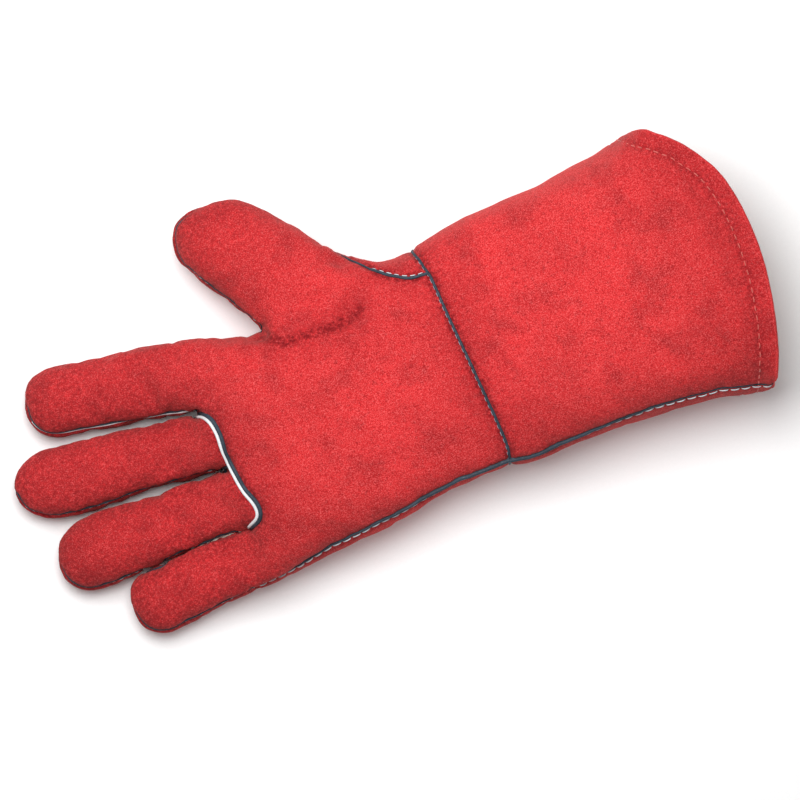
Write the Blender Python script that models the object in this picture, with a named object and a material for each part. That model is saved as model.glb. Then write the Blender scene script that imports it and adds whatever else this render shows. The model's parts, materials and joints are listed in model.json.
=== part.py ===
"""Right-hand leather welding gauntlet, lying on its back with the palm up.

Fingers point to -X, the cuff opens to +X and the thumb leaves on the +Y side. The leather is two
layers of panels that meet along a parting line half way up, with welts between them and a sewn
lining inside. A flex line cuts the layers wherever the glove bends: at the knuckles, half way along
the fingers, at the thumb's root and middle, and at the wrist. Each flex axis lies on the palm side,
so a bend opens the cut on the back of the hand.
"""

import math
from collections import namedtuple

import bmesh
import bpy
from mathutils import Vector

MM = 0.001  # every length below is in millimetres

# The glove's middle in its pattern's plan, which becomes the origin.
PLAN_CENTRE = Vector((-0.04, 16.15, 0.0))

# Layers
LEATHER = 1.4
LINING = 1.0
GAP = 0.3
REST_FLAT = 1.2  # how much of each round underside is pressed flat by the surface it lies on
LINING_DEPTH = LEATHER + GAP
HOLLOW_DEPTH = LINING_DEPTH + LINING

# Welts: thin leather strips sewn between two panels
WELT_THICK = 1.0
WELT_STAND = 0.5
WELT_SLOT = WELT_THICK / 2 + GAP  # half the slot that a welt sits in
PLAIN_SLOT = GAP / 2

# Hand
KNUCKLE_X = -88.0
WRIST_THUMB_SIDE = Vector((28.0, 54.3, 0.0))
WRIST_LITTLE_SIDE = Vector((38.0, -54.0, 0.0))
WRIST_HALF_HEIGHT = 25.5
HAND_POWER = 2.4  # squareness of a cross-section: 2 is an ellipse

# Thumb
THUMB_ROOT_FRONT = Vector((-48.3, 40.5, 0.0))
THUMB_ROOT_REAR = Vector((5.0, 53.0, 0.0))
THUMB_TIP = Vector((-57.5, 88.8, 0.0))
THUMB_ROOT_HALF_HEIGHT = 18.3
THUMB_FLEX_AT = 24.0  # from the root, along the thumb
THUMB_TIP_HALF_WIDTH = 18.0
THUMB_TIP_HALF_HEIGHT = 15.0
THUMB_ROOT_LEVEL = 22.4  # the height of the thumb's middle at its root
THUMB_TIP_DROP = 3.4  # and how much lower it is at the tip
THUMB_ROOT_AXIS_HEIGHT = 42.5

# Welts laid on the palm, as plan routes and widths
BASE_WELT = ((-84.0, 14.0), (-81.0, 4.0), (-81.5, -9.0), (-79.5, -22.0), (-77.0, -32.0), (-79.5, -40.0))
BASE_WELT_WIDTH = 2.6
THUMB_SEAM = ((6.5, 51.5), (13.8, 46.0), (20.0, 42.0))
THUMB_SEAM_WIDTH = 2.2

# Cuff
CUFF_BOW_POWER = 2.5  # how square the bow of the cuff's hem is

# Resolution
FINGER_ARC = 8
THUMB_ARC = 8
HAND_ARC = 14
CUFF_ARC = 28
DOME_STEPS = 3
DOME_LAST_DEG = 72.0

Station = namedtuple("Station", "centre side half_width half_height beyond bow power floor")
Finger = namedtuple("Finger", "knuckle_y tip_x tip_y base_half tip_half half_height flex_x")

FINGERS = {
    "index": Finger(33.2, -146.0, 41.7, 17.0, 16.8, 12.8, -124.0),
    "middle": Finger(1.9, -163.5, 8.7, 13.6, 16.8, 12.8, -133.0),
    "ring": Finger(-26.1, -156.4, -28.0, 13.3, 16.6, 12.6, -130.0),
    "little": Finger(-54.8, -133.2, -59.6, 14.5, 14.9, 12.0, -117.0),
}

COLOURS = {
    "suede": (0.62, 0.045, 0.05, 1.0),
    "welt": (0.032, 0.05, 0.07, 1.0),
    "cotton": (0.72, 0.66, 0.52, 1.0),
}
ROUGHNESS = {"suede": 0.92, "welt": 0.85, "cotton": 0.95}


# ---------------------------------------------------------------- cross-sections


def station(thumb_side, little_side, half_height, beyond=0.0, bow=0.0, power=2.0, floor=0.0):
    """A cross-section between two plan points. beyond is how far its oval would run past the thumb
    side, where it is cut open, and bow is how far its middle bulges forward."""
    side = (thumb_side - little_side).normalized()
    far = thumb_side + side * beyond
    centre = (far + little_side) / 2
    centre.z = half_height - REST_FLAT
    return Station(
        centre, side, (far - little_side).length / 2, half_height, beyond, bow, power, floor
    )


def inset(oval, depth):
    """The same cross-section, depth further in from the outer skin."""
    return oval._replace(
        half_width=oval.half_width - depth,
        half_height=oval.half_height - depth,
        beyond=oval.beyond - depth,
        floor=oval.floor + depth,
    )


def point_on(oval, angle):
    """The point at an angle from the thumb side, over the palm side for a positive angle."""
    across = math.copysign(abs(math.cos(angle)) ** (2 / oval.power), math.cos(angle))
    up = math.copysign(abs(math.sin(angle)) ** (2 / oval.power), math.sin(angle))
    forward = Vector((oval.side.y, -oval.side.x, 0.0))
    point = oval.centre + oval.side * (oval.half_width * across)
    point += forward * (oval.bow * (1 - abs(across) ** CUFF_BOW_POWER))
    point.z = max(point.z + oval.half_height * up, oval.floor)
    return point


def parting_angle(oval, slot):
    """The angle at which the oval has risen by slot above its parting line."""
    return math.asin(min(1.0, (slot / oval.half_height) ** (oval.power / 2)))


def cut_angle(oval):
    """The angle at which an oval that runs past the thumb side is cut off."""
    if oval.beyond <= 0:
        return 0.0
    share = (oval.half_width - oval.beyond) / oval.half_width
    return math.acos(share ** (oval.power / 2))


def spread(first, last, count):
    return [first + (last - first) * i / count for i in range(count + 1)]


def angles_of(oval, form, slots, count):
    """The angles of a cross-section's points. form is palm, back, ring or wrap."""
    thumb_slot, little_slot = slots
    if form == "ring":
        return [2 * math.pi * i / count for i in range(count)]
    last = math.pi - parting_angle(oval, little_slot)
    if form == "wrap":
        return spread(-last, last, count)
    first = max(parting_angle(oval, thumb_slot), cut_angle(oval))
    turn = 1 if form == "palm" else -1
    return [turn * angle for angle in spread(first, last, count)]


# ---------------------------------------------------------------- meshes


def add_grid(bm, rows, closed):
    """Quads over rows of vertices, joined round where closed."""
    for row, after in zip(rows, rows[1:]):
        count = len(row)
        for j in range(count if closed else count - 1):
            k = (j + 1) % count
            bm.faces.new((row[j], row[k], after[k], after[j]))


def add_rim(bm, outer, inner, closed):
    count = len(outer)
    for j in range(count if closed else count - 1):
        k = (j + 1) % count
        bm.faces.new((outer[j], outer[k], inner[k], inner[j]))


def shell(outer, inner, form, slots, count, tip):
    """A layer between two runs of cross-sections, closed over a finger's tip where tip is set."""
    bm = bmesh.new()
    grids = []
    for ovals in (outer, inner):
        rows = []
        for oval in ovals:
            angles = angles_of(oval, form, slots, count)
            rows.append([bm.verts.new(point_on(oval, angle)) for angle in angles])
        grids.append(rows)
    closed = form == "ring"
    for rows in grids:
        add_grid(bm, rows, closed)
    outside, inside = grids
    add_rim(bm, outside[0], inside[0], closed)
    if tip:
        bm.faces.new(outside[-1])
        bm.faces.new(inside[-1])
    else:
        add_rim(bm, outside[-1], inside[-1], closed)
    if not closed:
        for edge in (0, -1):
            add_rim(bm, [row[edge] for row in outside], [row[edge] for row in inside], False)
        if tip:
            corners = (outside[-1][0], outside[-1][-1], inside[-1][-1], inside[-1][0])
            bm.faces.new(corners)
    return bm


def strip(corner_rows, closed=False):
    """A bar through rows of four corner points each."""
    bm = bmesh.new()
    rows = [[bm.verts.new(corner) for corner in corners] for corners in corner_rows]
    add_grid(bm, rows + rows[:1] if closed else rows, True)
    if not closed:
        bm.faces.new(rows[0])
        bm.faces.new(rows[-1])
    return bm


def flat_bar(outer_points, inner_points):
    """A welt lying level between two plan curves."""
    half = Vector((0.0, 0.0, WELT_THICK / 2))
    rows = []
    for outer, inner in zip(outer_points, inner_points):
        rows.append((outer - half, outer + half, inner + half, inner - half))
    return strip(rows)


# ---------------------------------------------------------------- objects


def material(name):
    """The Principled material of one of the glove's three stuffs."""
    made = bpy.data.materials.get(name) or bpy.data.materials.new(name)
    made.use_nodes = True
    shader = made.node_tree.nodes["Principled BSDF"]
    shader.inputs["Base Color"].default_value = COLOURS[name]
    shader.inputs["Roughness"].default_value = ROUGHNESS[name]
    shader.inputs["Metallic"].default_value = 0.0
    return made


def own_material(name, stuff):
    """A sub-part's own copy of its stuff's material."""
    made = material(stuff).copy()
    made.name = name + "_" + stuff
    return made


def pivot(name, place):
    """An empty on a joint's axis, or on the hand's origin, which its body's pieces hang from."""
    empty = bpy.data.objects.new(name, None)
    empty.location = (place - PLAN_CENTRE) * MM
    empty.empty_display_size = 10 * MM
    bpy.context.scene.collection.objects.link(empty)
    return empty


def add_piece(name, bm, stuff, body):
    """Turns a mesh in the pattern's plan into a named object on its body's pivot."""
    bmesh.ops.recalc_face_normals(bm, faces=bm.faces)
    origin = Vector(body.location)
    for vertex in bm.verts:
        vertex.co = (vertex.co - PLAN_CENTRE) * MM - origin
    mesh = bpy.data.meshes.new(name)
    bm.to_mesh(mesh)
    bm.free()
    mesh.shade_smooth()
    mesh.set_sharp_from_angle(angle=math.radians(40))
    mesh.materials.append(own_material(name, stuff))
    made = bpy.data.objects.new(name, mesh)
    made.parent = body
    bpy.context.scene.collection.objects.link(made)


# ---------------------------------------------------------------- fingers


def finger_station(finger, x):
    share = (KNUCKLE_X - x) / (KNUCKLE_X - finger.tip_x)
    middle = finger.knuckle_y + (finger.tip_y - finger.knuckle_y) * share
    half = finger.base_half + (finger.tip_half - finger.base_half) * share
    return station(Vector((x, middle + half, 0)), Vector((x, middle - half, 0)), finger.half_height)


def dome(oval, direction, depth, inset_by):
    """Cross-sections that round off a tip beyond an oval."""
    within = inset(oval, inset_by)
    steps = []
    for i in range(1, DOME_STEPS + 1):
        turn = math.radians(DOME_LAST_DEG) * i / DOME_STEPS
        steps.append(
            within._replace(
                centre=oval.centre + direction * ((depth - inset_by) * math.sin(turn)),
                half_width=within.half_width * math.cos(turn),
                half_height=within.half_height * math.cos(turn),
            )
        )
    return steps


def near_part(finger, depth):
    places = spread(KNUCKLE_X - GAP / 2, finger.flex_x + GAP / 2, 3)
    return [inset(finger_station(finger, x), depth) for x in places]


def tip_part(finger, depth):
    places = spread(finger.flex_x - GAP / 2, finger.tip_x, 2)
    straight = [finger_station(finger, x) for x in places]
    rounded = dome(straight[-1], Vector((-1, 0, 0)), finger.tip_half, depth)
    return [inset(oval, depth) for oval in straight] + rounded


def tip_welt(outer, inner):
    """The welt that runs up one side of a tip, round its end and down the other side."""
    rows = []
    for oval_out, oval_in in zip(outer, inner):
        rows.append((oval_out, oval_in, 1))
    for oval_out, oval_in in zip(reversed(outer), reversed(inner)):
        rows.append((oval_out, oval_in, -1))
    outer_points = [oval.centre + oval.side * (oval.half_width * sign) for oval, _, sign in rows]
    inner_points = [oval.centre + oval.side * (oval.half_width * sign) for _, oval, sign in rows]
    return flat_bar(outer_points, inner_points)


def build_finger(name, finger):
    knuckle_top = Vector((KNUCKLE_X, finger.knuckle_y, hand_ovals()[0].half_height * 2 - REST_FLAT))
    flex_y = finger_station(finger, finger.flex_x).centre.y
    flex_top = Vector((finger.flex_x, flex_y, finger.half_height * 2 - REST_FLAT + WELT_STAND))
    near = pivot(name + "_knuckle_axis", knuckle_top)
    tip = pivot(name + "_middle_axis", flex_top)
    plain = (PLAIN_SLOT, PLAIN_SLOT)
    welted = (WELT_SLOT, WELT_SLOT)
    for side in ("palm", "back"):
        label = "front" if side == "palm" else "back"
        outer, inner = near_part(finger, 0), near_part(finger, LEATHER)
        leather = shell(outer, inner, side, plain, FINGER_ARC, False)
        add_piece(name + "_" + label + "_near", leather, "suede", near)
        outer, inner = tip_part(finger, 0), tip_part(finger, LEATHER)
        leather = shell(outer, inner, side, welted, FINGER_ARC, True)
        add_piece(name + "_" + label + "_tip", leather, "suede", tip)
    outer, inner = near_part(finger, LINING_DEPTH), near_part(finger, HOLLOW_DEPTH)
    lining = shell(outer, inner, "ring", plain, FINGER_ARC * 2, False)
    add_piece(name + "_lining_near", lining, "cotton", near)
    outer, inner = tip_part(finger, LINING_DEPTH), tip_part(finger, HOLLOW_DEPTH)
    lining = shell(outer, inner, "ring", plain, FINGER_ARC * 2, True)
    add_piece(name + "_lining_tip", lining, "cotton", tip)
    welt = tip_welt(tip_part(finger, -WELT_STAND), tip_part(finger, LEATHER))
    add_piece(name + "_tip_welt", welt, "welt", tip)


# ---------------------------------------------------------------- hand


def hand_ovals():
    """The hand from the knuckles to the wrist. Where beyond is set, the thumb opens."""
    root = THUMB_ROOT_REAR - THUMB_ROOT_FRONT

    def on_root(share):
        return THUMB_ROOT_FRONT + root * share

    wrist_thumb, wrist_little = wrist_edge(-WELT_SLOT)
    sides = (
        (Vector((KNUCKLE_X + GAP / 2, 51.0, 0)), Vector((KNUCKLE_X + GAP / 2, -69.6, 0)), 14.2, 0),
        (Vector((-70.0, 46.8, 0)), Vector((-70.0, -67.4, 0)), 18.0, 0),
        (Vector((-54.0, 43.2, 0)), Vector((-54.0, -65.5, 0)), 21.0, 0),
        (on_root(0.0), Vector((-47.0, -64.6, 0)), 22.0, 0),
        (on_root(0.15), Vector((-38.0, -63.2, 0)), 22.8, 9.0),
        (on_root(0.40), Vector((-23.0, -60.9, 0)), 23.6, 16.0),
        (on_root(0.68), Vector((-6.0, -57.5, 0)), 24.2, 16.0),
        (on_root(0.90), Vector((6.0, -55.5, 0)), 24.6, 8.0),
        (on_root(1.0), Vector((13.0, -54.8, 0)), 24.8, 0),
        (Vector((17.0, 53.8, 0)), Vector((25.0, -54.2, 0)), 25.2, 0),
        (wrist_thumb, wrist_little, WRIST_HALF_HEIGHT, 0),
    )
    return [
        station(thumb, little, height, beyond, power=HAND_POWER)
        for thumb, little, height, beyond in sides
    ]


def wrist_edge(distance):
    """The wrist line's two ends, moved towards the cuff by a distance."""
    along = (WRIST_THUMB_SIDE - WRIST_LITTLE_SIDE).normalized()
    forward = Vector((along.y, -along.x, 0.0))
    return WRIST_THUMB_SIDE + forward * distance, WRIST_LITTLE_SIDE + forward * distance


def palm_height(x, y):
    """How high the palm's outer skin is above a plan point between the wrist and knuckles."""
    ovals = hand_ovals()
    for before, after in zip(ovals, ovals[1:]):
        if x <= after.centre.x:
            break
    share = (x - before.centre.x) / (after.centre.x - before.centre.x)
    heights = []
    for oval in (before, after):
        across = min(1.0, abs(y - oval.centre.y) / oval.half_width)
        up = (1 - across**oval.power) ** (1 / oval.power)
        heights.append(oval.centre.z + oval.half_height * up)
    return heights[0] + (heights[1] - heights[0]) * share


def surface_welt(route, width):
    """A raised welt laid over the palm along a plan route."""
    route = [Vector((x, y, 0)) for x, y in route]
    rows = []
    for i, place in enumerate(route):
        ahead = route[min(i + 1, len(route) - 1)] - route[max(i - 1, 0)]
        across = Vector((ahead.y, -ahead.x, 0.0)).normalized() * (width / 2)
        corners = []
        for edge, rise in ((across, 0.0), (across, WELT_THICK), (-across, WELT_THICK), (-across, 0.0)):
            corner = place + edge
            corner.z = palm_height(corner.x, corner.y) + GAP * 2 + rise
            corners.append(corner)
        rows.append(corners)
    return strip(rows)


def side_welt(ovals):
    """The welt in the little-finger side's parting line."""
    outer = [oval.centre - oval.side * (oval.half_width + WELT_STAND) for oval in ovals]
    inner = [oval.centre - oval.side * (oval.half_width - LEATHER) for oval in ovals]
    return flat_bar(outer, inner)


def build_hand():
    hand = pivot("hand_origin", PLAN_CENTRE)
    ovals = hand_ovals()
    slots = (PLAIN_SLOT, WELT_SLOT)
    inner = [inset(oval, LEATHER) for oval in ovals]
    lining_outer = [inset(oval, LINING_DEPTH) for oval in ovals]
    lining_inner = [inset(oval, HOLLOW_DEPTH) for oval in ovals]
    add_piece("palm_panel", shell(ovals, inner, "palm", slots, HAND_ARC, False), "suede", hand)
    add_piece("hand_back_panel", shell(ovals, inner, "back", slots, HAND_ARC, False), "suede", hand)
    plain = (PLAIN_SLOT, PLAIN_SLOT)
    for side in ("palm", "back"):
        lining = shell(lining_outer, lining_inner, side, plain, HAND_ARC, False)
        add_piece(side + "_lining", lining, "cotton", hand)
    add_piece("hand_side_welt", side_welt(ovals), "welt", hand)
    add_piece("finger_base_welt", surface_welt(BASE_WELT, BASE_WELT_WIDTH), "welt", hand)
    add_piece("thumb_seam_welt", surface_welt(THUMB_SEAM, THUMB_SEAM_WIDTH), "welt", hand)


def build_wrist_welt(hand):
    """The ring of welt in the wrist seam, which rides with the hand."""
    rows = []
    thumb, little = wrist_edge(0.0)
    oval = station(thumb, little, WRIST_HALF_HEIGHT, power=HAND_POWER)
    forward = Vector((oval.side.y, -oval.side.x, 0.0)) * (WELT_THICK / 2)
    outside = inset(oval, -WELT_STAND)._replace(floor=0.0)
    inside = inset(oval, LEATHER)
    for angle in angles_of(oval, "ring", (0, 0), CUFF_ARC):
        out, within = point_on(outside, angle), point_on(inside, angle)
        rows.append((out - forward, out + forward, within + forward, within - forward))
    add_piece("wrist_welt", strip(rows, closed=True), "welt", hand)


# ---------------------------------------------------------------- thumb


def thumb_ovals(first, last, count):
    """Cross-sections between two distances along the thumb from its root."""
    root_side = (THUMB_ROOT_REAR - THUMB_ROOT_FRONT).normalized()
    root_half = (THUMB_ROOT_REAR - THUMB_ROOT_FRONT).length / 2
    root = (THUMB_ROOT_FRONT + THUMB_ROOT_REAR) / 2
    length = (THUMB_TIP - root).length
    direction = (THUMB_TIP - root).normalized()
    square_side = Vector((direction.y, -direction.x, 0.0))
    ovals = []
    for distance in spread(first, last, count):
        turned = min(1.0, distance / (THUMB_FLEX_AT - GAP))
        share = distance / length
        side = root_side.lerp(square_side, turned).normalized()
        half = root_half + (THUMB_TIP_HALF_WIDTH - root_half) * (1 - (1 - share) ** 2)
        height = THUMB_ROOT_HALF_HEIGHT + (THUMB_TIP_HALF_HEIGHT - THUMB_ROOT_HALF_HEIGHT) * share
        centre = root + direction * distance
        oval = station(centre + side * half, centre - side * half, height)
        oval.centre.z = THUMB_ROOT_LEVEL - THUMB_TIP_DROP * share
        ovals.append(oval)
    return ovals, direction, length


def build_thumb():
    root_top = (THUMB_ROOT_FRONT + THUMB_ROOT_REAR) / 2
    root_top.z = THUMB_ROOT_AXIS_HEIGHT
    near = pivot("thumb_root_axis", root_top)
    ovals, direction, length = thumb_ovals(GAP, THUMB_FLEX_AT - GAP / 2, 3)
    flex = ovals[-1].centre.copy()
    flex += direction * (GAP / 2)
    flex.z += ovals[-1].half_height + WELT_STAND
    tip = pivot("thumb_middle_axis", flex)
    plain = (PLAIN_SLOT, PLAIN_SLOT)
    welted = (WELT_SLOT, WELT_SLOT)
    straight, _, _ = thumb_ovals(THUMB_FLEX_AT + GAP / 2, length, 2)

    def near_layer(depth):
        return [inset(oval, depth) for oval in ovals]

    def tip_layer(depth):
        rounded = dome(straight[-1], direction, THUMB_TIP_HALF_WIDTH, depth)
        return [inset(oval, depth) for oval in straight] + rounded

    for side in ("palm", "back"):
        label = "front" if side == "palm" else "back"
        leather = shell(near_layer(0), near_layer(LEATHER), side, plain, THUMB_ARC, False)
        add_piece("thumb_" + label + "_near", leather, "suede", near)
        leather = shell(tip_layer(0), tip_layer(LEATHER), side, welted, THUMB_ARC, True)
        add_piece("thumb_" + label + "_tip", leather, "suede", tip)
    outer, inner = near_layer(LINING_DEPTH), near_layer(HOLLOW_DEPTH)
    lining = shell(outer, inner, "ring", plain, THUMB_ARC * 2, False)
    add_piece("thumb_lining_near", lining, "cotton", near)
    outer, inner = tip_layer(LINING_DEPTH), tip_layer(HOLLOW_DEPTH)
    lining = shell(outer, inner, "ring", plain, THUMB_ARC * 2, True)
    add_piece("thumb_lining_tip", lining, "cotton", tip)
    welt = tip_welt(tip_layer(-WELT_STAND), tip_layer(LEATHER))
    add_piece("thumb_tip_welt", welt, "welt", tip)


# ---------------------------------------------------------------- cuff


def cuff_ovals():
    """The cuff from the wrist to its bowed hem."""
    thumb, little = wrist_edge(WELT_SLOT)
    sides = (
        (thumb, little, WRIST_HALF_HEIGHT, 0.0, HAND_POWER),
        (Vector((55.0, 60.2, 0)), Vector((60.0, -55.0, 0)), 27.0, 2.0, 2.3),
        (Vector((92.0, 62.6, 0)), Vector((92.0, -54.3, 0)), 30.0, 8.0, 2.2),
        (Vector((120.0, 67.0, 0)), Vector((128.0, -54.4, 0)), 32.5, 17.0, 2.1),
        (Vector((132.5, 70.5, 0)), Vector((150.5, -58.0, 0)), 33.7, 24.5, 2.0),
        (Vector((140.3, 72.2, 0)), Vector((161.9, -60.7, 0)), 34.2, 27.4, 2.0),
    )
    return [
        station(thumb, little, height, bow=bow, power=power)
        for thumb, little, height, bow, power in sides
    ]


def build_cuff():
    thumb, little = wrist_edge(WELT_SLOT)
    top = (thumb + little) / 2
    top.z = WRIST_HALF_HEIGHT * 2 - REST_FLAT + WELT_STAND
    cuff = pivot("wrist_axis", top)
    ovals = cuff_ovals()
    slots = (WELT_SLOT, WELT_SLOT)
    inner = [inset(oval, LEATHER) for oval in ovals]
    add_piece("cuff_panel", shell(ovals, inner, "wrap", slots, CUFF_ARC, False), "suede", cuff)
    add_piece("cuff_side_welt", side_welt(ovals), "welt", cuff)
    lined = ovals[:-1]
    outer = [inset(oval, LINING_DEPTH) for oval in lined]
    inner = [inset(oval, HOLLOW_DEPTH) for oval in lined]
    add_piece("cuff_lining", shell(outer, inner, "ring", slots, CUFF_ARC, False), "cotton", cuff)
    before, edge = ovals[-2], ovals[-1]
    start = between(before, edge, GAP * 2 / (edge.centre - before.centre).length)
    turned = (start, edge)
    outer = [inset(oval, LINING_DEPTH) for oval in turned]
    inner = [inset(oval, LINING_DEPTH + LEATHER) for oval in turned]
    add_piece("hem_facing", shell(outer, inner, "ring", slots, CUFF_ARC, False), "suede", cuff)


def between(first, last, share):
    """A cross-section part of the way from one to another."""
    values = {}
    for field in ("centre", "side"):
        values[field] = getattr(first, field).lerp(getattr(last, field), share)
    for field in ("half_width", "half_height", "beyond", "bow", "power", "floor"):
        start = getattr(first, field)
        values[field] = start + (getattr(last, field) - start) * share
    values["side"].normalize()
    return Station(**values)


def main():
    for old in list(bpy.data.objects):
        bpy.data.objects.remove(old)
    build_hand()
    build_wrist_welt(bpy.data.objects["hand_origin"])
    for name, finger in FINGERS.items():
        build_finger(name, finger)
    build_thumb()
    build_cuff()


main()
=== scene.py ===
"""The looks of a right-hand leather welding gauntlet that lies on its back, palm up.

The glove's plan is cut into one skin of triangles, which is puffed out, relaxed as cloth and seamed.
The skin is then cut into the leather panels.
Welts, piping, threads, linings and the turned hem are swept and offset from the same skin.
Lengths are in millimetres here and become metres when a piece is made.
"""

import json
import math

import bpy
import numpy as np
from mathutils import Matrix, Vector, geometry, kdtree, noise
from mathutils.bvhtree import BVHTree


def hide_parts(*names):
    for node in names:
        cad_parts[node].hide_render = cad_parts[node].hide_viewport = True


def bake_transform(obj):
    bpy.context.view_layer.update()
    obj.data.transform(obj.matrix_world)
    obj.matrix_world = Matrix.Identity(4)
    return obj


MM = 0.001

# An edge of a mesh is held as one number: its lower vertex times this, plus its higher one
EDGE = 10_000_000

# ---------------------------------------------------------------- the glove's pattern

# Each finger: a point of its middle line near the tip and one at the root, half its width at both,
# and how far its tip reaches along the middle line past the first point.
FINGERS = {
    "little": {"end": (-133.0, -74.7), "root": (-92.0, -71.4), "half": (15.2, 14.6), "reach": 15.2},
    "ring": {"end": (-156.4, -44.2), "root": (-92.0, -42.6), "half": (16.8, 13.9), "reach": 16.8},
    "middle": {"end": (-161.2, -8.4), "root": (-92.0, -14.2), "half": (16.7, 13.9), "reach": 19.6},
    "index": {"end": (-147.2, 26.8), "root": (-92.0, 18.8), "half": (16.5, 16.7), "reach": 16.2},
}
FORKS = {"little": (-85.1, -57.0), "ring": (-85.1, -28.2), "middle": (-89.0, 0.5)}
TIP_SQUARENESS = 2.25
LITTLE_EDGE = [
    (160.6, -76.4), (138.0, -71.4), (115.0, -70.5), (69.0, -72.1), (46.0, -72.8), (34.5, -71.6),
    (18.4, -72.1), (0.0, -73.7), (-23.0, -77.9), (-46.0, -81.4), (-74.0, -84.6), (-88.0, -85.6),
]
INDEX_EDGE = [(-87.0, 35.1), (-74.0, 31.9), (-60.0, 28.3), (-51.6, 26.0)]
THUMB_LEFT = [(-48.9, 25.4), (-48.6, 27.2), (-52.0, 32.4), (-60.0, 43.8), (-68.5, 56.8), (-73.4, 64.4)]
THUMB_CENTRE = (-58.2, 71.6)
THUMB_RADIUS = 17.6
THUMB_ARC_DEG = (203.0, 84.0)
THUMB_RIGHT = [
    (-50.0, 89.3), (-43.0, 87.6), (-35.6, 82.4), (-28.0, 74.8), (-20.7, 66.6), (-9.0, 54.6),
    (0.0, 46.3), (9.2, 40.4), (18.0, 39.4),
]
CUFF_EDGE = [
    (26.7, 40.4), (36.0, 42.2), (46.0, 43.8), (69.0, 45.8), (92.0, 46.4), (115.0, 48.9),
    (128.0, 52.0), (138.4, 54.9),
]
HEM = [
    (138.4, 54.9), (146.4, 49.8), (157.6, 39.8), (166.0, 28.0), (170.8, 14.0), (173.2, -2.0),
    (173.6, -18.0), (171.8, -36.0), (167.4, -57.0), (160.6, -76.4),
]
WRIST = [(26.9, 40.0), (30.8, 25.3), (33.1, 2.3), (35.9, -25.3), (37.7, -48.3), (38.2, -62.1), (37.0, -73.0)]
BASE_SEAM = [
    (-89.5, 0.3), (-85.3, -2.6), (-82.5, -11.5), (-83.7, -25.3), (-80.6, -38.5), (-77.4, -48.3),
    (-78.6, -54.6), (-85.1, -57.5),
]
MIDDLE_RING_SEAM = [(-88.0, -28.2), (-83.6, -27.6)]
THUMB_SEAM = [(-8.0, 54.2), (0.5, 43.6), (7.0, 36.2), (14.5, 29.6), (22.5, 25.6), (30.6, 24.8)]
THUMB_CREASE = [(-49.4, 24.6), (-44.0, 19.6), (-36.0, 16.8), (-26.0, 16.4), (-15.0, 17.6), (-4.0, 20.0)]
THUMB_CHORD = ((-52.0, 23.5), (14.0, 39.0))
THUMB_FORK = (-48.3, 24.6)
THUMB_FORK_SLOPE = 0.75
THUMB_END_X = 12.0
THUMB_TOP = (-52.0, 88.5)
PALM_CORNER = (-92.0, -86.0)
BACK_WEDGE = [(34.0, 45.0), (10.0, 60.0)]

# Where the leather is cut between bodies
KNUCKLE_CUT = 2.7
MIDDLE_CUT = 11.5
THUMB_SPLIT = 20.5

# How the skin puffs out from its middle: the most it rises, and how fast it gets there
PALM_PUFF = (24.6, 30.0)
CUFF_PUFF = (35.0, 35.0)
PUFF_CHANGES_X = (20.0, 150.0)
REST_FLAT = 1.6

# Mesh
STEP = 2.5
EDGE_ROWS = (0.35, 1.35)
SEAM_SNAP = 0.16
FEATURE_ROWS = (-2.8, -1.3, 1.3, 2.8)
FINGER_SEAM_IN = 0.7
SIDE_SEAM_IN = 3.2
HEM_FACING = 14.0
HEM_STITCH_IN = 7.0

# Soft dents of the hide: their size and height
RELIEF = ((34.0, 1.3), (14.0, 0.42), (6.5, 0.17))

# How dark the leather is painted towards the fingers, thumb and the cuff's ends: painted shade where the
# light falls off there, with soil from handling too
SOIL_AND_SHADE = 0.42

# Layers
LEATHER = 1.3
LINING = 1.0
LINING_DEPTH = 2.4
FACING_DEPTH = 1.6

RED = (0.61, 0.024, 0.027)
RED_DARK = (0.20, 0.006, 0.009)
RED_LIGHT = (0.88, 0.165, 0.165)
SLATE = (0.028, 0.045, 0.065)
SLATE_LIGHT = (0.075, 0.105, 0.135)
PIPING_WHITE = (0.80, 0.82, 0.84)
THREAD_PALE = (0.66, 0.70, 0.74)
THREAD_GREY = (0.26, 0.30, 0.35)
HEM_THREAD = (0.66, 0.11, 0.09)
COTTON = (0.74, 0.68, 0.55)
COTTON_LIGHT = (0.88, 0.84, 0.74)

# How each seam draws the leather in: the groove's depth and radius, how much the leather puckers,
# how far that reaches and how long its waves are
PANEL_SEAM = {"depth": 0.9, "radius": 1.5, "pucker": 0.34}
WRIST_SEAM = {"depth": 1.2, "radius": 1.9, "pucker": 0.42, "reach": 8.0}
BASE_SEWN = {"depth": 1.4, "radius": 2.4, "pucker": 0.35}
FORK_SEWN = {"depth": 1.0, "radius": 1.8, "pucker": 0.2}
CREASE_FOLD = {"depth": 1.4, "radius": 4.5, "pucker": 0.3, "reach": 9.0}
HEM_SEWN = {"depth": 0.3, "radius": 1.2, "pucker": 0.22, "wave": 4.0}
SEAM_GAP = 0.42


# ---------------------------------------------------------------- plan curves


def resample(line, step):
    """Points at even distances along a line."""
    line = np.asarray(line, float)
    along = np.concatenate([[0], np.cumsum(np.linalg.norm(np.diff(line, axis=0), axis=1))])
    count = max(1, round(along[-1] / step))
    places = np.linspace(0, along[-1], count + 1)
    return np.stack([np.interp(places, along, line[:, k]) for k in range(line.shape[1])], 1)


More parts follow.
